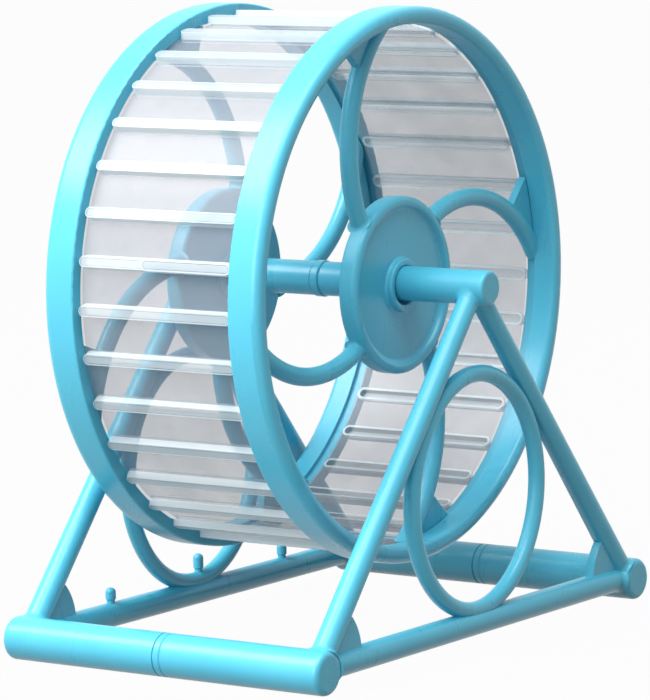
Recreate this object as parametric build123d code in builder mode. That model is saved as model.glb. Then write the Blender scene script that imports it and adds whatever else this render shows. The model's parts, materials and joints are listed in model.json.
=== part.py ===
# Rodent exercise wheel on a stand of two snap-together side frames.
# Millimetres. +Z is up, the wheel turns about an axis along Y, and the feet run along Y.
# The origin is on the floor, midway between the feet and midway along the axle.
# The plain side frame is at -Y. The one with the three cage pegs is at +Y.
import os
from math import atan2, cos, degrees, radians, sin, sqrt

from build123d import *

os.makedirs("parts", exist_ok=True)

# Stand: two upright triangles whose corners lie on the axle and on the two feet
foot_spacing = 129.2
foot_length = 84.8
foot_radius = 4.85
foot_flat_width = 2.4
foot_end_round = 1.3
axle_above_feet = 75.7
axle_length = 86.4
axle_radius = 3.9
axle_end_round = 0.8
frame_offset = 38.7
leg_top_radius = 2.35
leg_foot_radius = 2.7
rail_radius = 2.8
rail_lift = 0.3
ring_height = 26.6
ring_end_radius = 23.5
ring_widths = {"plain_side": 25.9, "peg_side": 24.9}
ring_shifts = {"plain_side": -0.5, "peg_side": -1.7}
ring_tube_radius = 1.9
ring_above_feet = 29.75
gusset_thickness = 2.0
gusset_on_leg = (52.4, 10.6)
gusset_on_rail = (48.3, 2.5)
gusset_edge_middle = (49.6, 6.9)

# Joints of the feet and the axle: a spigot with a stop collar in a blind socket
collar_width = 1.6
collar_groove_width = 0.35
collar_groove_depth = 0.3
joint_chamfer = 0.25
spigot_length = 11.5
socket_length = 12.0
socket_clearance = 0.05
foot_spigot_radius = 3.0
axle_spigot_radius = 2.2
axle_bead_radius = 4.15
axle_bead_width = 2.0
axle_joint_y = 1.9
foot_joint_y = 0.0

# Cage pegs on the frame at +Y
peg_spacing = 34.0
peg_neck_radius = 0.95
peg_neck_length = 0.6
peg_head_radius = 1.2
peg_head_lengths = {"front": 2.9, "middle": 3.6, "rear": 2.9}
peg_tip_round = 1.1
peg_shoulder = 0.3
peg_root_depth = 1.6

# Wheel: two open sides held apart by the track strip, hanging loosely on the axle
wheel_shift = 4.9
rim_radius = 62.5
rim_inner_radius = 58.6
rim_outer_face = 29.0
rim_inner_face = 20.8
rim_outer_round = 2.0
rim_inner_round = 1.5
rim_edge_round = 0.4
rebate_depth = 2.4
rebate_radius = 59.45
hub_radius = 20.0
hub_inner_face = 20.5
hub_lip_face = 25.2
hub_lip_round = 1.2
hub_lip_inner_radius = 18.0
hub_lip_inner_round = 0.8
hub_edge_round = 1.0
hub_floor_round = 1.0
hub_floor_radius = 17.2
hub_floor_edge = 23.9
hub_floor_centre = 24.0
boss_radius = 6.0
boss_outer_face = 25.6
boss_inner_face = 19.2
boss_round = 0.5
hub_outsets = {"plain_side": 0.0, "peg_side": 1.7}
bore_radius = 4.4
bore_contact_gap = 0.03

# Spokes: four arcs on each side, each with a flat web where it meets the rim
spoke_count = 4
spoke_offsets = {"plain_side": 22.1, "peg_side": 23.2}
spoke_tube_radius = 2.05
spoke_bend_radius = 34.9
spoke_bend_centre = (31.0, -17.9)
spoke_bend_start = 121
spoke_bend_end = 30
web_thickness = 1.9
web_points = ((48.3, 12.2), (56.3, 20.9), (61.0, 9.0), (59.6, 0.8))
spoke_turns = {"plain_side": 0.0, "peg_side": 61.0}

# Track strip: a thin band with hollow outward ribs that serve as rungs
strip_inner_radius = 58.7
strip_outer_radius = 59.4
strip_edge_gap = 0.1
rib_count = 35
rib_first_angle = 99.3
rib_width = 3.2
rib_top_radius = 61.0
rib_end_gap = 0.1
rib_taper = 12
groove_width = 1.8
groove_top_radius = 60.2

# Derived places
foot_x = foot_spacing / 2
foot_z = sqrt(foot_radius**2 - (foot_flat_width / 2) ** 2)
axle_z = foot_z + axle_above_feet
rail_z = foot_z + rail_lift
ring_z = foot_z + ring_above_feet
wheel_z = axle_z - (bore_radius - axle_radius - bore_contact_gap)
wheel_centre = (0, wheel_shift, wheel_z)
wheel_axis = Axis(wheel_centre, (0, 1, 0))
sides = (("plain_side", -1), ("peg_side", 1))
ends = (("front", -1), ("rear", 1))


def keep(piece, name):
    """Label a finished piece and write its file."""
    piece.label = name
    export_step(piece, f"parts/{name}.step")


def rod(start, end, start_radius, end_radius):
    """A round bar between two points, tapered when its radii differ."""
    along = Vector(*end) - Vector(*start)
    with BuildPart() as bar:
        with BuildSketch(Plane(origin=start, z_dir=along)):
            Circle(start_radius)
        with BuildSketch(Plane(origin=end, z_dir=along)):
            Circle(end_radius)
        loft(ruled=True)
    return bar.part


# Feet and axle
# Each is a bar in two halves that plug together near the middle. The half at +Y ends in a
# collar and a spigot, and the half at -Y has the socket. The collar shows as a ring
# between two fine lines, and on the axle it stands a little proud as a bead.
def socket_half(x, z, radius, length, end_round, joint_y, collar, spigot_radius):
    """The half of a bar at -Y, from its rounded end to the face of its socket."""
    with BuildPart() as half:
        with BuildSketch(Plane(origin=(x, -length / 2, z), z_dir=(0, 1, 0))):
            Circle(radius)
        extrude(amount=length / 2 + joint_y - collar / 2)
        fillet(half.edges().filter_by(GeomType.CIRCLE).sort_by(Axis.Y)[0], end_round)
        chamfer(half.edges().filter_by(GeomType.CIRCLE).sort_by(Axis.Y)[-1], joint_chamfer)
        with BuildSketch(Plane(origin=(x, joint_y - collar / 2, z), z_dir=(0, -1, 0))):
            Circle(spigot_radius + socket_clearance)
        extrude(amount=socket_length, mode=Mode.SUBTRACT)
    return half.part


def spigot_half(x, z, radius, length, end_round, joint_y, collar, collar_radius, spigot_radius):
    """The half of a bar at +Y, from its rounded end to the tip of its spigot."""
    with BuildPart() as half:
        with BuildSketch(Plane(origin=(x, joint_y + collar / 2, z), z_dir=(0, 1, 0))):
            Circle(radius)
        extrude(amount=length / 2 - joint_y - collar / 2)
        fillet(half.edges().filter_by(GeomType.CIRCLE).sort_by(Axis.Y)[-1], end_round)
        with BuildSketch(Plane(origin=(x, joint_y + collar / 2, z), z_dir=(0, 1, 0))):
            Circle(radius + collar_radius)
            Circle(radius - collar_groove_depth, mode=Mode.SUBTRACT)
        extrude(amount=collar_groove_width, mode=Mode.SUBTRACT)
        with BuildSketch(Plane(origin=(x, joint_y - collar / 2, z), z_dir=(0, 1, 0))):
            Circle(collar_radius)
        extrude(amount=collar)
        collar_rims = half.edges().filter_by(GeomType.CIRCLE).group_by(Axis.Y)[0]
        chamfer(collar_rims, joint_chamfer)
        with BuildSketch(Plane(origin=(x, joint_y - collar / 2, z), z_dir=(0, -1, 0))):
            Circle(spigot_radius)
        extrude(amount=spigot_length)
    return half.part


for end, x_sign in ends:
    bar = (x_sign * foot_x, foot_z, foot_radius, foot_length, foot_end_round, foot_joint_y, collar_width)
    with BuildPart() as plain_foot:
        add(socket_half(*bar, foot_spigot_radius))
        split(bisect_by=Plane.XY, keep=Keep.TOP)
    keep(plain_foot.part, f"plain_side_{end}_foot")
    with BuildPart() as peg_foot:
        add(spigot_half(*bar, foot_radius, foot_spigot_radius))
        split(bisect_by=Plane.XY, keep=Keep.TOP)
    keep(peg_foot.part, f"peg_side_{end}_foot")

axle_bar = (0, axle_z, axle_radius, axle_length, axle_end_round, axle_joint_y, axle_bead_width)
keep(socket_half(*axle_bar, axle_spigot_radius), "plain_side_axle")
keep(spigot_half(*axle_bar, axle_bead_radius, axle_spigot_radius), "peg_side_axle")

# Side frames
# Two legs, a bottom rail, a ring and two corner webs lie in one plane on each side.
# Each member is cut to the members that it runs into, so none of them overlap.
axle_outline = rod((0, -axle_length / 2, axle_z), (0, axle_length / 2, axle_z), axle_radius, axle_radius)
foot_outlines = [
    rod((x, -foot_length / 2, foot_z), (x, foot_length / 2, foot_z), foot_radius, foot_radius)
    for x in (-foot_x, foot_x)
]

for side, y_sign in sides:
    y = y_sign * frame_offset
    rail_outline = rod((-foot_x, y, rail_z), (foot_x, y, rail_z), rail_radius, rail_radius)
    leg_outlines = [
        rod((0, y, axle_z), (x_sign * foot_x, y, foot_z), leg_top_radius, leg_foot_radius)
        for end, x_sign in ends
    ]

    with BuildPart() as rail:
        add(rail_outline)
        add(foot_outlines, mode=Mode.SUBTRACT)
    keep(rail.part, f"{side}_rail")

    for (end, x_sign), leg_outline in zip(ends, leg_outlines):
        with BuildPart() as leg:
            add(leg_outline)
            add(axle_outline, mode=Mode.SUBTRACT)
            add(foot_outlines, mode=Mode.SUBTRACT)
            add(rail_outline, mode=Mode.SUBTRACT)
        keep(leg.part, f"{side}_{end}_leg")

    # The ring stands on the rail and leans on both legs. It is a slight oval of four arcs
    end_lift = ring_height - ring_end_radius
    side_shift = (end_lift**2 - (ring_widths[side] - ring_end_radius) ** 2) / (
        2 * (ring_widths[side] - ring_end_radius)
    )
    side_radius = ring_widths[side] + side_shift
    side_angle = degrees(atan2(end_lift, side_shift))
    ring_plane = Plane(origin=(ring_shifts[side], y, ring_z), x_dir=(1, 0, 0), z_dir=(0, -1, 0))
    with BuildPart() as ring:
        with BuildLine(ring_plane) as oval:
            CenterArc((-side_shift, 0), side_radius, -side_angle, 2 * side_angle)
            CenterArc((0, end_lift), ring_end_radius, side_angle, 180 - 2 * side_angle)
            CenterArc((side_shift, 0), side_radius, 180 - side_angle, 2 * side_angle)
            CenterArc((0, -end_lift), ring_end_radius, 180 + side_angle, 180 - 2 * side_angle)
        with BuildSketch(Plane(origin=oval.line @ 0, z_dir=oval.line % 0)):
            Circle(ring_tube_radius)
        sweep()
        add(leg_outlines, mode=Mode.SUBTRACT)
        add(rail_outline, mode=Mode.SUBTRACT)
    keep(ring.part, f"{side}_ring")

    # A flat web fills the corner between each leg and the rail
    for (end, x_sign), leg_outline in zip(ends, leg_outlines):
        corner = (x_sign * foot_x, 0)
        on_leg = (x_sign * gusset_on_leg[0], gusset_on_leg[1])
        on_rail = (x_sign * gusset_on_rail[0], gusset_on_rail[1])
        edge_middle = (x_sign * gusset_edge_middle[0], gusset_edge_middle[1])
        with BuildPart() as gusset:
            with BuildSketch(Plane(origin=(0, y, foot_z), x_dir=(1, 0, 0), z_dir=(0, -1, 0))):
                with BuildLine():
                    Polyline(on_rail, corner, on_leg)
                    ThreePointArc(on_leg, edge_middle, on_rail)
                make_face()
            extrude(amount=gusset_thickness / 2, both=True)
            add(leg_outline, mode=Mode.SUBTRACT)
            add(rail_outline, mode=Mode.SUBTRACT)
            add(foot_outlines, mode=Mode.SUBTRACT)
        keep(gusset.part, f"{side}_{end}_gusset")

# Cage pegs
# Three short upright pegs with a waist. Two stand on the rail at +Y, and the middle one
# stands on the foot of the ring. The loop above leaves that rail and ring as the last.
rail_top = rail_z + rail_radius
ring_foot_top = ring_z - ring_height + ring_tube_radius
for place, x, base_z in (
    ("front", -peg_spacing, rail_top),
    ("middle", 0, ring_foot_top),
    ("rear", peg_spacing, rail_top),
):
    with BuildPart() as peg:
        with BuildSketch(Plane(origin=(x, frame_offset, base_z + peg_neck_length))):
            Circle(peg_head_radius)
        extrude(amount=peg_head_lengths[place])
        fillet(peg.edges().filter_by(GeomType.CIRCLE).sort_by(Axis.Z)[-1], peg_tip_round)
        chamfer(peg.edges().filter_by(GeomType.CIRCLE).sort_by(Axis.Z)[0], peg_shoulder)
        with BuildSketch(Plane(origin=(x, frame_offset, base_z - peg_root_depth))):
            Circle(peg_neck_radius)
        extrude(amount=peg_root_depth + peg_neck_length)
        add(rail.part, mode=Mode.SUBTRACT)
        add(ring.part, mode=Mode.SUBTRACT)
    keep(peg.part, f"peg_side_{place}_peg")


# Wheel sides
# Each side is a rim with a rounded outer face, a dished hub disc with a bossed bore, and
# four arc spokes. Both sides are the same moulding, and one is turned about to face +Y.
# That one's spokes bow outwards a little, so its hub stands further from the middle.
def turned(side_sign, section, outset=0.0):
    """A piece turned about the wheel axis.

    The section is a list of corners, each with its distance from the middle plane of the
    wheel, its radius from the axis and the radius that rounds it. The outset moves the
    whole section away from the middle plane.
    """
    section_origin = (0, wheel_shift + side_sign * outset, wheel_z)
    outward = Plane(origin=section_origin, x_dir=(0, side_sign, 0), z_dir=(side_sign, 0, 0))
    with BuildPart() as piece:
        with BuildSketch(outward) as profile:
            with BuildLine():
                Polyline([(face, radius) for face, radius, corner in section], close=True)
            make_face()
            for face, radius, corner in section:
                if corner:
                    fillet(profile.vertices().sort_by_distance((face, radius))[0], corner)
        revolve(axis=wheel_axis)
    return piece.part


rim_section = (
    (rim_inner_face, rim_radius, rim_edge_round),
    (rim_outer_face, rim_radius, rim_outer_round),
    (rim_outer_face, rim_inner_radius, rim_inner_round),
    (rim_inner_face + rebate_depth, rim_inner_radius, 0),
    (rim_inner_face + rebate_depth, rebate_radius, 0),
    (rim_inner_face, rebate_radius, 0),
)
hub_section = (
    (hub_inner_face, boss_radius, 0),
    (hub_inner_face, hub_radius, hub_edge_round),
    (hub_lip_face, hub_radius, hub_lip_round),
    (hub_lip_face, hub_lip_inner_radius, hub_lip_inner_round),
    (hub_floor_edge, hub_floor_radius, hub_floor_round),
    (hub_floor_centre, boss_radius, boss_round),
    (boss_outer_face, boss_radius, boss_round),
    (boss_outer_face, bore_radius, boss_round),
    (boss_inner_face, bore_radius, 0),
    (boss_inner_face, boss_radius, boss_round),
)

for side, y_sign in sides:
    keep(turned(y_sign, rim_section), f"wheel_{side}_rim")
    keep(turned(y_sign, hub_section, hub_outsets[side]), f"wheel_{side}_hub")

    spoke_middle = (0, wheel_shift + y_sign * spoke_offsets[side], wheel_z)
    for number in range(spoke_count):
        turn = radians(spoke_turns[side] + number * 360 / spoke_count)
        radial = (-y_sign * cos(turn), 0, sin(turn))
        spoke_plane = Plane(origin=spoke_middle, x_dir=radial, z_dir=(0, y_sign, 0))
        with BuildPart() as spoke:
            with BuildLine(spoke_plane) as bend:
                CenterArc(
                    spoke_bend_centre,
                    spoke_bend_radius,
                    spoke_bend_start,
                    spoke_bend_end - spoke_bend_start,
                )
            with BuildSketch(Plane(origin=bend.line @ 0, z_dir=bend.line % 0)):
                Circle(spoke_tube_radius)
            sweep()
            with BuildSketch(spoke_plane):
                with BuildLine():
                    Polyline(web_points, close=True)
                make_face()
            extrude(amount=web_thickness / 2, both=True)
            with BuildSketch(spoke_plane):
                Circle(rim_radius + spoke_tube_radius)
                Circle(rim_inner_radius, mode=Mode.SUBTRACT)
                Circle(hub_radius)
            extrude(amount=2 * spoke_tube_radius, both=True, mode=Mode.SUBTRACT)
        keep(spoke.part, f"wheel_{side}_spoke_{number + 1}")

# Track strip
# A band of clear plastic whose edges sit in the rebates of both rims. Its ribs are hollow
# channels pressed outward, rounded at both ends, so they are grooves on the inside.
strip_width = 2 * (rim_inner_face + rebate_depth - strip_edge_gap)
rib_length = 2 * (rim_inner_face - rib_end_gap)
groove_length = rib_length - (rib_width - groove_width)
strip_middle_radius = (strip_inner_radius + strip_outer_radius) / 2


def rib_planes(radius):
    """Planes square to the radius of each rib, at a distance from the wheel axis."""
    planes = []
    for number in range(rib_count):
        angle = radians(rib_first_angle + number * 360 / rib_count)
        outward = Vector(cos(angle), 0, sin(angle))
        planes.append(Plane(origin=Vector(*wheel_centre) + outward * radius, x_dir=(0, 1, 0), z_dir=outward))
    return planes


with BuildPart() as track_strip:
    with BuildSketch(Plane(origin=wheel_centre, x_dir=(0, 1, 0), z_dir=(1, 0, 0))):
        with Locations((0, strip_middle_radius)):
            Rectangle(strip_width, strip_outer_radius - strip_inner_radius)
    revolve(axis=wheel_axis)
    with BuildSketch(*rib_planes(strip_middle_radius)):
        SlotOverall(rib_length, rib_width)
    extrude(amount=rib_top_radius - strip_middle_radius, taper=rib_taper)
    with BuildSketch(*rib_planes(strip_inner_radius - groove_width / 2)):
        SlotOverall(groove_length, groove_width)
    extrude(amount=groove_top_radius - strip_inner_radius + groove_width / 2, mode=Mode.SUBTRACT)
keep(track_strip.part, "track_strip")
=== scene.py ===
# Rodent exercise wheel of glossy sky-blue plastic with a clear ribbed running track.
# The sections follow the object as it is put together: view and light, the blue plastic,
# the small moulded details of the stand, those of the wheel, and the clear track.
import json
from math import cos, pi, radians, sin

import bpy
from mathutils import Matrix, Vector


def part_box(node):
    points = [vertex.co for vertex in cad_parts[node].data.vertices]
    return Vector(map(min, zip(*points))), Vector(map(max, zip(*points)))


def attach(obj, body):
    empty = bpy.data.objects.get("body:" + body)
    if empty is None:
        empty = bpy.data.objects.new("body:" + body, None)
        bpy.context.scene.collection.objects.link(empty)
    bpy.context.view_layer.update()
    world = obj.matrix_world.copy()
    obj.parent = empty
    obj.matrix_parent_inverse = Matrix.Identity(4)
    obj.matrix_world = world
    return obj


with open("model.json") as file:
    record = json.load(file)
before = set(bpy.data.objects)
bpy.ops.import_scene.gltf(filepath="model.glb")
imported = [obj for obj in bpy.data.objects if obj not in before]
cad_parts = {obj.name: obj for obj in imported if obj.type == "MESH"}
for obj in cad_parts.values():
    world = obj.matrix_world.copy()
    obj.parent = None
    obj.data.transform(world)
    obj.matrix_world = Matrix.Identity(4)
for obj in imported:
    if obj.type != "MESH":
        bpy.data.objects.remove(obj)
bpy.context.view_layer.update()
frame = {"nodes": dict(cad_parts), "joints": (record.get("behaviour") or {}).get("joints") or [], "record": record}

MM = 0.001


# View. A long lens a metre from the wheel, turned a degree about its own line of sight.
# The camera stands beyond the front corner of the stand on the side without the pegs.
camera_place = Vector((-827.8, -566.4, 191.7)) * MM
camera_aim = Vector((0.0, 1.73, 63.99)) * MM
camera_roll = radians(-0.995)
lens_mm = 228.7

camera_data = bpy.data.cameras.new("camera")
camera_data.lens = lens_mm
camera_data.sensor_width = 36
camera_data.clip_start = 0.05
camera_data.clip_end = 50
camera = bpy.data.objects.new("camera", camera_data)
camera.rotation_mode = "QUATERNION"
camera.location = camera_place
sight = (camera_aim - camera_place).to_track_quat("-Z", "Y")
camera.rotation_quaternion = sight @ Matrix.Rotation(camera_roll, 4, "Z").to_quaternion()
bpy.context.scene.collection.objects.link(camera)
bpy.context.scene.camera = camera
bpy.context.scene.view_settings.view_transform = "Standard"


# Floor and light. A pale sweep under one softbox up on the left and behind the wheel, one
# low on the left and one overhead in front, in an even dim room. The background is white.
def linear(hex_colour):
    """An sRGB hex colour as linear red, green, blue and full alpha."""
    channels = [int(hex_colour[i:i + 2], 16) / 255 for i in (1, 3, 5)]
    return [c / 12.92 if c <= 0.04045 else ((c + 0.055) / 1.055) ** 2.4 for c in channels] + [1.0]


def add_node(tree, kind, settings=None, links=None):
    """Add one shader node, give it settings and socket values, and link its inputs."""
    node = tree.nodes.new(kind)
    for name, value in (settings or {}).items():
        if isinstance(name, int) or name in node.inputs:
            node.inputs[name].default_value = value
        else:
            setattr(node, name, value)
    for name, source in (links or {}).items():
        tree.links.new(source, node.inputs[name])
    return node


def seen_directly(tree):
    """One where a camera, mirror or glass ray meets the surface, and nought elsewhere."""
    path = add_node(tree, "ShaderNodeLightPath")
    seen = add_node(tree, "ShaderNodeMath", {"operation": "MAXIMUM"},
                    {0: path.outputs["Is Camera Ray"], 1: path.outputs["Is Glossy Ray"]})
    return add_node(tree, "ShaderNodeMath", {"operation": "MAXIMUM"},
                    {0: seen.outputs[0], 1: path.outputs["Is Transmission Ray"]}).outputs[0]


def new_material(name):
    """An empty material, its node tree and its output node."""
    material = bpy.data.materials.new(name)
    material.use_nodes = True
    material.node_tree.nodes.clear()
    return material, material.node_tree, add_node(material.node_tree, "ShaderNodeOutputMaterial")


floor_half_width = 6.0
floor_whiteness = 0.97
paper_material, tree, output = new_material("white_studio_paper")
paper = add_node(tree, "ShaderNodeBsdfDiffuse", {"Color": linear("#80807e"), "Roughness": 0.6})
glow = add_node(tree, "ShaderNodeEmission", {"Color": linear("#ffffff"), "Strength": 1.0})
share = add_node(tree, "ShaderNodeMath", {"operation": "MULTIPLY", 1: floor_whiteness},
                 {0: seen_directly(tree)})
sweep = add_node(tree, "ShaderNodeMixShader", {},
                 {0: share.outputs[0], 1: paper.outputs[0], 2: glow.outputs[0]})
tree.links.new(sweep.outputs[0], output.inputs["Surface"])

bpy.ops.object.select_all(action="DESELECT")
bpy.ops.mesh.primitive_plane_add(size=2 * floor_half_width, location=(0, 0, 0))
floor = bpy.context.object
floor.name = "floor"
floor.data.materials.append(paper_material)

room_strength = 0.3
world = bpy.data.worlds.new("white_room")
bpy.context.scene.world = world
world.use_nodes = True
tree = world.node_tree
tree.nodes.clear()
room = add_node(tree, "ShaderNodeBackground", {"Color": linear("#f6fbff"), "Strength": room_strength})
white = add_node(tree, "ShaderNodeBackground", {"Color": linear("#ffffff"), "Strength": 1.0})
room_mix = add_node(tree, "ShaderNodeMixShader", {},
                    {0: seen_directly(tree), 1: room.outputs[0], 2: white.outputs[0]})
add_node(tree, "ShaderNodeOutputWorld", {}, {"Surface": room_mix.outputs[0]})

wheel_joint = frame["joints"][0]
wheel_centre = Vector(wheel_joint["pos_m"])


def softbox(name, direction, distance, size, power):
    """A square area lamp that faces the wheel from a direction seen from its centre."""
    lamp_data = bpy.data.lights.new(name, "AREA")
    lamp_data.shape = "SQUARE"
    lamp_data.size = size
    lamp_data.energy = power
    lamp = bpy.data.objects.new(name, lamp_data)
    lamp.rotation_mode = "QUATERNION"
    away = Vector(direction).normalized()
    lamp.location = wheel_centre + away * distance
    lamp.rotation_quaternion = (-away).to_track_quat("-Z", "Y")
    bpy.context.scene.collection.objects.link(lamp)


softbox("key_softbox", direction=(-0.6, 0.5, 0.85), distance=1.2, size=0.7, power=14)
softbox("left_softbox", direction=(-1.0, 0.12, 0.35), distance=1.2, size=0.8, power=8.5)
softbox("overhead_softbox", direction=(-0.35, -0.2, 1.0), distance=1.2, size=0.9, power=12)


# Blue plastic. Polypropylene injection moulded in polished steel: an even sky blue with a
# soft gloss, slight sinks, faint flow marks and a fine haze of handling scratches.
def polypropylene(name, hex_colour, deep_hex):
    """Glossy moulded polypropylene, in a colour and a deeper one mixed in random clouds."""
    material, tree, output = new_material(name)
    place = add_node(tree, "ShaderNodeTexCoord").outputs["Object"]
    cloud_mm = 14.0
    flow_mm = 5.0
    sink_mm = 7.0
    haze_mm = 0.35
    clouds = add_node(tree, "ShaderNodeTexNoise", {"Scale": 1 / (cloud_mm * MM), "Detail": 3.0},
                      {"Vector": place})
    stretched = add_node(tree, "ShaderNodeMapping", {"Scale": (1.0, 1.0, 0.3)}, {"Vector": place})
    flow = add_node(tree, "ShaderNodeTexNoise",
                    {"Scale": 1 / (flow_mm * MM), "Detail": 2.0, "Distortion": 0.6},
                    {"Vector": stretched.outputs[0]})
    tone = add_node(tree, "ShaderNodeMixRGB", {"Color1": linear(hex_colour), "Color2": linear(deep_hex)},
                    {"Fac": clouds.outputs["Fac"]})
    haze = add_node(tree, "ShaderNodeTexNoise", {"Scale": 1 / (haze_mm * MM), "Detail": 4.0},
                    {"Vector": place})
    worn = add_node(tree, "ShaderNodeMapRange",
                    {"From Min": 0.3, "From Max": 0.8, "To Min": 0.25, "To Max": 0.31},
                    {"Value": flow.outputs["Fac"]})
    rough = add_node(tree, "ShaderNodeMath", {"operation": "MULTIPLY_ADD", 1: 0.04},
                     {0: haze.outputs["Fac"], 2: worn.outputs[0]})
    sinks = add_node(tree, "ShaderNodeTexNoise", {"Scale": 1 / (sink_mm * MM), "Detail": 1.0},
                     {"Vector": place})
    relief = add_node(tree, "ShaderNodeBump", {"Strength": 0.08, "Distance": 0.3 * MM},
                      {"Height": sinks.outputs["Fac"]})
    plastic = add_node(tree, "ShaderNodeBsdfPrincipled",
                       {"IOR": 1.49, "Metallic": 0.0, "Specular IOR Level": 0.52,
                        "Subsurface Weight": 0.12, "Subsurface Scale": 1.2 * MM,
                        "Subsurface Radius": (0.35, 0.9, 1.0)},
                       {"Base Color": tone.outputs[0], "Roughness": rough.outputs[0],
                        "Normal": relief.outputs[0]})
    tree.links.new(plastic.outputs[0], output.inputs["Surface"])
    return material


stand_plastic = polypropylene("moulded_polypropylene_sky_blue_stand", "#5ac5df", "#4cb9d7")
wheel_plastic = polypropylene("moulded_polypropylene_sky_blue_wheel", "#5cc7e1", "#50bbd9")


def on_body(body):
    """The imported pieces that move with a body."""
    return [frame["nodes"][name] for name in frame["record"]["behaviour"]["bodies"][body]]


for piece in on_body("stand"):
    for material_slot in piece.material_slots:
        material_slot.material = stand_plastic
for piece in on_body("wheel"):
    for material_slot in piece.material_slots:
        material_slot.material = wheel_plastic


# Moulded blends of the stand. Where a leg or rail of a side frame runs into a foot or into
# the axle, the moulding flares out in a small hollow fillet, so no corner is sharp.
foot_radius = 4.85 * MM
foot_low, foot_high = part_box("plain_side_rear_foot")
foot_x = (foot_low.x + foot_high.x) / 2
foot_z = foot_high.z - foot_radius
axle_low, axle_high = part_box("plain_side_axle")
axle_radius = (axle_high.z - axle_low.z) / 2
axle_z = (axle_low.z + axle_high.z) / 2
rail_low, rail_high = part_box("plain_side_rail")
rail_radius = (rail_high.z - rail_low.z) / 2
rail_z = (rail_low.z + rail_high.z) / 2
frame_y = abs(rail_low.y + rail_high.y) / 2
steps_round = 40
steps_fillet = 6
sunk_in_host = 0.3 * MM
sunk_in_bar = 0.5 * MM
feather_in_bar = 0.05 * MM


def fillet_ring(name, start, along, bar_radius, host_point, host_axis, host_radius, width):
    """A closed ring with a hollow profile, lying on a round host where a round bar leaves it."""
    along = Vector(along).normalized()
    first = along.orthogonal().normalized()
    second = along.cross(first)
    host_axis = Vector(host_axis).normalized()

    def surface(point):
        """How far beyond a point, along the bar, the host's surface lies."""
        offset = point - host_point
        offset -= host_axis * offset.dot(host_axis)
        heading = along - host_axis * along.dot(host_axis)
        a, b, c = heading.dot(heading), 2 * offset.dot(heading), offset.dot(offset) - host_radius ** 2
        return (-b + max(b * b - 4 * a * c, 0.0) ** 0.5) / (2 * a)

    profile = [(width * (1 - sin(t)), width * (1 - cos(t)))
               for t in (pi / 2 * i / steps_fillet for i in range(steps_fillet + 1))]
    profile[-1] = (-feather_in_bar, width)
    profile += [(-sunk_in_bar, width * 0.6), (-sunk_in_bar, -sunk_in_host), (width * 0.7, -sunk_in_host)]
    bpy.ops.object.select_all(action="DESELECT")
    bpy.ops.mesh.primitive_torus_add(major_segments=steps_round, minor_segments=len(profile))
    ring = bpy.context.object
    ring.name = name
    for index, vertex in enumerate(ring.data.vertices):
        turn = 2 * pi * (index // len(profile)) / steps_round
        outward, lift = profile[index % len(profile)]
        point = start + (first * cos(turn) + second * sin(turn)) * (bar_radius + outward)
        vertex.co = point + along * (surface(point) + lift)
    bpy.ops.object.mode_set(mode="EDIT")
    bpy.ops.mesh.select_all(action="SELECT")
    bpy.ops.mesh.normals_make_consistent(inside=False)
    bpy.ops.object.mode_set(mode="OBJECT")
    bpy.ops.object.shade_smooth_by_angle(angle=radians(50))
    return ring


def finish_piece(piece, material, body):
    """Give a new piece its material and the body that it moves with."""
    piece.data.materials.clear()
    piece.data.materials.append(material)
    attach(piece, body)


leg_top_radius = 2.35 * MM
leg_foot_radius = 2.68 * MM
stand_blend = 1.1 * MM
y_axis = Vector((0, 1, 0))
for side, y_sign in (("plain_side", -1), ("peg_side", 1)):
    axle_point = Vector((0, y_sign * frame_y, axle_z))
    for end, x_sign in (("front", -1), ("rear", 1)):
        foot_point = Vector((x_sign * foot_x, y_sign * frame_y, foot_z))
        rail_point = Vector((x_sign * foot_x, y_sign * frame_y, rail_z))
        downwards = foot_point - axle_point
        blends = (
            ("leg_foot_blend", foot_point, -downwards, leg_foot_radius, foot_point, foot_radius),
            ("leg_top_blend", axle_point, downwards, leg_top_radius, axle_point, axle_radius),
            ("rail_blend", rail_point, Vector((-x_sign, 0, 0)), rail_radius, foot_point, foot_radius),
        )
        for word, start, along, bar_radius, host_point, host_radius in blends:
            ring = fillet_ring(f"{side}_{end}_{word}", start, along, bar_radius,
                               host_point, y_axis, host_radius, stand_blend)
            finish_piece(ring, stand_plastic, "stand")


# Spoke roots. Each spoke leaves the wall of the hub through a small moulded flare. The
# spoke is an arc, so its heading at the hub is square to the arc's radius there.
hub_radius = 20.0 * MM
spoke_radius = 2.05 * MM
spoke_blend = 0.9 * MM
spoke_bend_centre = (31.0, -17.9)
spoke_bend_radius = 34.9
spoke_sides = (("plain_side", -1, 0.0, 22.1), ("peg_side", 1, 61.0, 23.2))
centre_distance = (spoke_bend_centre[0] ** 2 + spoke_bend_centre[1] ** 2) ** 0.5
hub_mm = hub_radius / MM
along_line = (hub_mm ** 2 - spoke_bend_radius ** 2 + centre_distance ** 2) / (2 * centre_distance)
beside_line = (hub_mm ** 2 - along_line ** 2) ** 0.5
unit_x, unit_y = (value / centre_distance for value in spoke_bend_centre)
root_x = along_line * unit_x - beside_line * unit_y
root_y = along_line * unit_y + beside_line * unit_x
heading_x = root_y - spoke_bend_centre[1]
heading_y = -(root_x - spoke_bend_centre[0])
for side, y_sign, first_turn, offset in spoke_sides:
    for number in range(4):
        turn = radians(first_turn + number * 90)
        radial = Vector((-y_sign * cos(turn), 0, sin(turn)))
        sideways = Vector((0, y_sign, 0)).cross(radial)
        middle = wheel_centre + y_axis * y_sign * offset * MM
        root = middle + (radial * root_x + sideways * root_y) * MM
        heading = radial * heading_x + sideways * heading_y
        start = root - heading.normalized() * 3 * MM
        ring = fillet_ring(f"wheel_{side}_spoke_{number + 1}_root", start, heading, spoke_radius,
                           wheel_centre, y_axis, hub_radius, spoke_blend)
        finish_piece(ring, wheel_plastic, "wheel")
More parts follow.
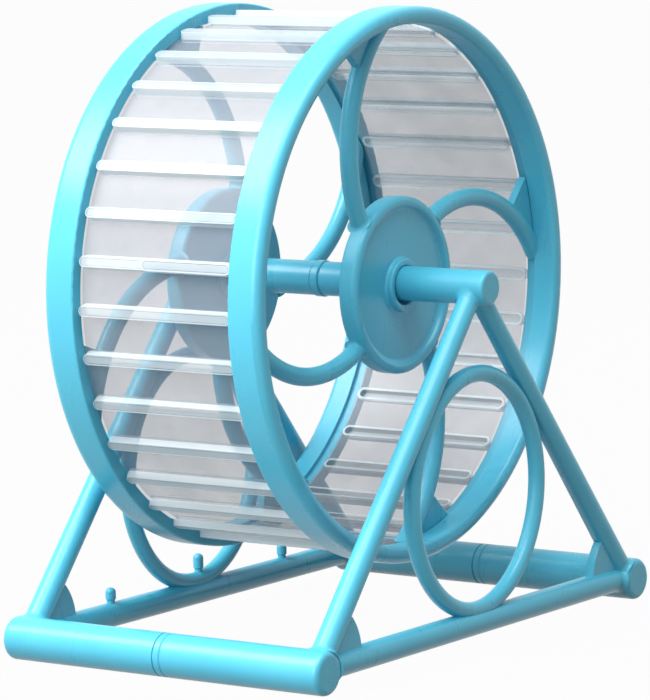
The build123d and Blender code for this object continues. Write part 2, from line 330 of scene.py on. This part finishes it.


# Clear track. A strip of clear polystyrene, vacuum formed into hollow ribs, milky where flat.
# A band round each rib's walls is a painted highlight, whiter and more opaque, for the bright
# outlines where the walls catch light. Its edges lie in the rim rebates and hardly show against the blue.
track = frame["nodes"]["track_strip"]
rib_count = 35
rib_first_angle = radians(99.3)
rib_half_length = 19.1 * MM
rib_middle = 0.0
# The band between these distances from a rib's middle line is a painted highlight on the rib walls.
highlight_band_start = 0.86 * MM
highlight_band_end = 1.62 * MM
outline_soft = 0.12 * MM
rebate_edge = 20.9 * MM
rebate_cover = 0.12
painted_highlight_white = 0.27
crown_white = 0.13
milk_least = 0.33
milk_most = 0.40
haze_spot_mm = 9.0
ripple_mm = 6.0


def clear_strip(name, half_length, middle):
    """Milky clear plastic with a painted highlight, a whiter band round the walls of ribs of a half length about a
    middle.
    """
    material, tree, output = new_material(name)

    def value(operation, first, second=0.0, third=0.0, clamp=False):
        """One sum on values that are numbers or the outputs of other nodes."""
        given = {index: entry for index, entry in enumerate((first, second, third))}
        numbers = {index: entry for index, entry in given.items() if isinstance(entry, (int, float))}
        sources = {index: entry for index, entry in given.items() if index not in numbers}
        return add_node(tree, "ShaderNodeMath",
                        {"operation": operation, "use_clamp": clamp, **numbers}, sources).outputs[0]

    place = add_node(tree, "ShaderNodeTexCoord").outputs["Object"]
    centred = add_node(tree, "ShaderNodeVectorMath", {"operation": "SUBTRACT", 1: tuple(wheel_centre)},
                       {0: place})
    split = add_node(tree, "ShaderNodeSeparateXYZ", {}, {0: centred.outputs[0]})
    x, y, z = split.outputs
    radius = value("SQRT", value("ADD", value("MULTIPLY", x, x), value("MULTIPLY", z, z)))
    past_first = value("SUBTRACT", value("ARCTAN2", z, x), rib_first_angle)
    pitches = value("MULTIPLY", past_first, rib_count / (2 * pi))
    from_rib = value("SUBTRACT", value("FRACT", value("ADD", pitches, 0.5)), 0.5)
    beside = value("MULTIPLY", value("MULTIPLY", from_rib, radius), 2 * pi / rib_count)
    along = value("MAXIMUM", value("SUBTRACT", value("ABSOLUTE", value("SUBTRACT", y, middle)),
                                   half_length), 0.0)
    distance = value("SQRT", value("ADD", value("MULTIPLY", beside, beside),
                                   value("MULTIPLY", along, along)))
    # A painted highlight: a whiter, more opaque band on the rib walls, all round each rib.
    rising = value("MULTIPLY", value("SUBTRACT", distance, highlight_band_start), 1 / outline_soft, clamp=True)
    falling = value("MULTIPLY", value("SUBTRACT", highlight_band_end, distance), 1 / outline_soft, clamp=True)
    highlight_band = value("MULTIPLY", rising, falling)
    crown = value("MULTIPLY", value("SUBTRACT", highlight_band_start, distance), 1 / outline_soft, clamp=True)

    milk = add_node(tree, "ShaderNodeTexNoise", {"Scale": 1 / (haze_spot_mm * MM), "Detail": 3.0},
                    {"Vector": place})
    milky = add_node(tree, "ShaderNodeMapRange",
                     {"From Min": 0.3, "From Max": 0.7, "To Min": milk_least, "To Max": milk_most},
                     {"Value": milk.outputs["Fac"]})
    inside_rims = value("SUBTRACT", rebate_edge, value("ABSOLUTE", y))
    open_part = value("MULTIPLY", inside_rims, 1 / outline_soft, clamp=True)
    in_view = value("MULTIPLY_ADD", open_part, 1 - rebate_cover, rebate_cover)
    white = value("ADD", value("MULTIPLY_ADD", highlight_band, painted_highlight_white, milky.outputs[0]),
                  value("MULTIPLY", crown, crown_white), clamp=True)
    cover = value("MULTIPLY", white, in_view)
    flat_tint = add_node(tree, "ShaderNodeMixRGB",
                         {"Color1": linear("#959ba5"), "Color2": linear("#cdd8de")}, {"Fac": crown})
    # deeaef is the colour of the painted highlight on the rib walls.
    tint_with_painted_highlight = add_node(tree, "ShaderNodeMixRGB", {"Color2": linear("#deeaef")},
                    {"Fac": highlight_band, "Color1": flat_tint.outputs[0]})
    ripple = add_node(tree, "ShaderNodeTexNoise", {"Scale": 1 / (ripple_mm * MM), "Detail": 2.0},
                      {"Vector": place})
    uneven = add_node(tree, "ShaderNodeBump", {"Strength": 0.25, "Distance": 0.3 * MM},
                      {"Height": ripple.outputs["Fac"]})
    clear = add_node(tree, "ShaderNodeBsdfPrincipled", {"IOR": 1.59, "Metallic": 0.0, "Roughness": 0.34},
                     {"Base Color": tint_with_painted_highlight.outputs[0], "Alpha": cover, "Normal": uneven.outputs[0]})
    tree.links.new(clear.outputs[0], output.inputs["Surface"])
    return material


strip_plastic = clear_strip("vacuum_formed_clear_polystyrene", rib_half_length, rib_middle)
for material_slot in track.material_slots:
    material_slot.material = strip_plastic


# Closure of the track. The strip is bent round and its last rib is pushed over the first,
# so one rung has the shorter end of a second rib lying over it.
closure_index = 7
lap_length = 24.0 * MM
lap_half_width = 1.45 * MM
lap_height = 0.5 * MM
lap_radius = 61.05 * MM
lap_middle = -8.6 * MM
closure_plastic = clear_strip("lapped_end_of_clear_strip", lap_length / 2 - lap_half_width, lap_middle)


def stadium(name, half_length, half_width, height):
    """A low rounded bar lying along Y with its ends half round and its top edge eased."""
    bpy.ops.object.select_all(action="DESELECT")
    bpy.ops.mesh.primitive_cylinder_add(vertices=32, radius=half_width, depth=height)
    bar = bpy.context.object
    bar.name = name
    for vertex in bar.data.vertices:
        vertex.co.y += (half_length - half_width) * (1 if vertex.co.y > 0 else -1)
    bevel = bar.modifiers.new("eased_edge", "BEVEL")
    bevel.width = 0.35 * MM
    bevel.segments = 3
    bpy.ops.object.modifier_apply(modifier=bevel.name)
    bpy.ops.object.shade_smooth_by_angle(angle=radians(40))
    return bar


lap = stadium("track_strip_lapped_rib", lap_length / 2, lap_half_width, lap_height)
closure_angle = rib_first_angle + closure_index * 2 * pi / rib_count
outward = Vector((cos(closure_angle), 0, sin(closure_angle)))
lap_turn = Matrix((outward.cross(y_axis) * -1, y_axis, outward)).transposed().to_4x4()
lap_place = wheel_centre + outward * lap_radius + y_axis * lap_middle
lap.data.transform(Matrix.Translation(lap_place) @ lap_turn)
finish_piece(lap, closure_plastic, "wheel")
